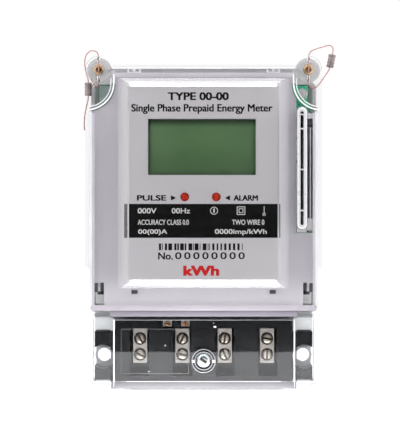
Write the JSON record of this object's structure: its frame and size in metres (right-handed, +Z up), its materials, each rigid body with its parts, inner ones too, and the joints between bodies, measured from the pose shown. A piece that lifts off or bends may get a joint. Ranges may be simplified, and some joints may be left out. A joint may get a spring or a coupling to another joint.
{
  "type": "prepaid electricity meter",
  "caption": "Single-phase prepaid electricity meter with a clear cover, green display, card slot, screw terminals and wire seals.",
  "frame": {"origin": "on the wall plane, on the centre line, at the middle of the rear wall face", "axes": "+Z up, +X right as seen from the front, +Y into the wall, so the front faces -Y"},
  "size_m": [0.1291, 0.06, 0.174],
  "materials": {
    "clear_cover": "clear moulded polycarbonate, polished",
    "slot_guide": "translucent white moulding",
    "grey_base": "light grey moulded plastic, fine spark-eroded grain",
    "silver_panel": "silver paint on moulded plastic",
    "nameplate_sheet": "printed satin sheet",
    "black_block": "glossy black moulding",
    "nickelled_brass": "nickel-plated brass",
    "screw_metal": "plated steel, warm",
    "zinc_screw": "bright zinc plate",
    "copper": "bare copper",
    "steel": "zinc-plated pressed steel",
    "gasket_rubber": "moulded rubber",
    "circuit_board": "green solder mask",
    "display_glass": "liquid-crystal display with a green backlight",
    "white_plastic": "white moulded plastic",
    "black_plastic": "black moulded plastic",
    "battery_sleeve": "blue shrink sleeve",
    "red_lens": "clear red epoxy",
    "seal_metal": "dull crimped metal",
    "seal_wire": "thin twisted wire with a pinkish-brown cast"
  },
  "bodies": {
    "base": {"base_shell": "grey_base", "front_panel": "silver_panel", "nameplate": "nameplate_sheet", "terminal_block": "black_block", "terminal_live_in": "nickelled_brass", "terminal_live_out": "nickelled_brass", "terminal_neutral_in": "nickelled_brass", "terminal_neutral_out": "nickelled_brass", "pulse_terminal_1": "nickelled_brass", "pulse_terminal_2": "nickelled_brass", "cover_insert": "nickelled_brass", "current_shunt": "copper", "neutral_link": "copper", "hanger_rivet": "steel", "board_screw_left": "steel", "board_screw_right": "steel", "cover_gasket": "gasket_rubber", "main_board": "circuit_board", "card_contact_board": "circuit_board", "display_module": "display_glass", "display_holder": "white_plastic", "card_bracket_top": "white_plastic", "card_bracket_bottom": "white_plastic", "card_cable": "white_plastic", "card_socket": "black_plastic", "card_switch": "black_plastic", "relay": "black_plastic", "transformer": "black_plastic", "capacitor": "black_plastic", "buzzer": "black_plastic", "controller_chip": "black_plastic", "metering_chip": "black_plastic", "battery": "battery_sleeve", "led_pulse": "red_lens", "led_alarm": "red_lens"},
    "main_cover_body": {"main_cover": "clear_cover", "card_slot_guide": "slot_guide", "seal_bridge_left": "seal_wire", "seal_bridge_right": "seal_wire", "seal_wire_left": "seal_wire", "seal_wire_right": "seal_wire", "seal_strand_left": "seal_wire", "seal_left": "seal_metal", "seal_right": "seal_metal"},
    "terminal_cover_body": {"terminal_cover": "clear_cover", "screw_retainer": "white_plastic"},
    "hanger": {"hanger_plate": "steel"},
    "terminal_cover_screw_body": {"terminal_cover_screw": "zinc_screw"},
    "cover_screw_left_body": {"cover_screw_left": "screw_metal"},
    "cover_screw_right_body": {"cover_screw_right": "screw_metal"},
    "screw_live_in_upper_body": {"screw_live_in_upper": "screw_metal"},
    "screw_live_in_lower_body": {"screw_live_in_lower": "screw_metal"},
    "screw_live_out_upper_body": {"screw_live_out_upper": "screw_metal"},
    "screw_live_out_lower_body": {"screw_live_out_lower": "screw_metal"},
    "screw_neutral_in_upper_body": {"screw_neutral_in_upper": "screw_metal"},
    "screw_neutral_in_lower_body": {"screw_neutral_in_lower": "screw_metal"},
    "screw_neutral_out_upper_body": {"screw_neutral_out_upper": "screw_metal"},
    "screw_neutral_out_lower_body": {"screw_neutral_out_lower": "screw_metal"},
    "pulse_screw_1_body": {"pulse_screw_1": "copper"},
    "pulse_screw_2_body": {"pulse_screw_2": "copper"}
  },
  "joints": [
    {"name": "terminal_cover_lift", "type": "slide", "parent": "base", "child": "terminal_cover_body", "axis": [0, -1, 0], "range_m": [0, 0.06]},
    {"name": "main_cover_lift", "type": "slide", "parent": "base", "child": "main_cover_body", "axis": [0, -1, 0], "range_m": [0, 0.05]},
    {"name": "hanger_slide", "type": "slide", "parent": "base", "child": "hanger", "axis": [0, 0, 1], "range_m": [0, 0.0118]},
    {"name": "terminal_cover_screw_turn", "type": "hinge", "parent": "terminal_cover_body", "child": "terminal_cover_screw_body", "pos_m": [0, -0.045, -0.0665], "axis": [0, -1, 0], "continuous": true},
    {"name": "cover_screw_left_turn", "type": "hinge", "parent": "main_cover_body", "child": "cover_screw_left_body", "pos_m": [-0.0536, -0.025, 0.0808], "axis": [0, -1, 0], "continuous": true},
    {"name": "cover_screw_right_turn", "type": "hinge", "parent": "main_cover_body", "child": "cover_screw_right_body", "pos_m": [0.0536, -0.025, 0.0808], "axis": [0, -1, 0], "continuous": true},
    {"name": "screw_live_in_upper_turn", "type": "hinge", "parent": "base", "child": "screw_live_in_upper_body", "pos_m": [-0.03225, -0.031, -0.0564], "axis": [0, -1, 0], "continuous": true},
    {"name": "screw_live_in_lower_turn", "type": "hinge", "parent": "base", "child": "screw_live_in_lower_body", "pos_m": [-0.03225, -0.031, -0.0645], "axis": [0, -1, 0], "continuous": true},
    {"name": "screw_live_out_upper_turn", "type": "hinge", "parent": "base", "child": "screw_live_out_upper_body", "pos_m": [-0.01075, -0.031, -0.0564], "axis": [0, -1, 0], "continuous": true},
    {"name": "screw_live_out_lower_turn", "type": "hinge", "parent": "base", "child": "screw_live_out_lower_body", "pos_m": [-0.01075, -0.031, -0.0645], "axis": [0, -1, 0], "continuous": true},
    {"name": "screw_neutral_in_upper_turn", "type": "hinge", "parent": "base", "child": "screw_neutral_in_upper_body", "pos_m": [0.01075, -0.031, -0.0564], "axis": [0, -1, 0], "continuous": true},
    {"name": "screw_neutral_in_lower_turn", "type": "hinge", "parent": "base", "child": "screw_neutral_in_lower_body", "pos_m": [0.01075, -0.031, -0.0645], "axis": [0, -1, 0], "continuous": true},
    {"name": "screw_neutral_out_upper_turn", "type": "hinge", "parent": "base", "child": "screw_neutral_out_upper_body", "pos_m": [0.03225, -0.031, -0.0564], "axis": [0, -1, 0], "continuous": true},
    {"name": "screw_neutral_out_lower_turn", "type": "hinge", "parent": "base", "child": "screw_neutral_out_lower_body", "pos_m": [0.03225, -0.031, -0.0645], "axis": [0, -1, 0], "continuous": true},
    {"name": "pulse_screw_1_turn", "type": "hinge", "parent": "base", "child": "pulse_screw_1_body", "pos_m": [-0.0183, -0.04, -0.0484], "axis": [0, -1, 0], "continuous": true},
    {"name": "pulse_screw_2_turn", "type": "hinge", "parent": "base", "child": "pulse_screw_2_body", "pos_m": [-0.0092, -0.04, -0.0484], "axis": [0, -1, 0], "continuous": true}
  ]
}
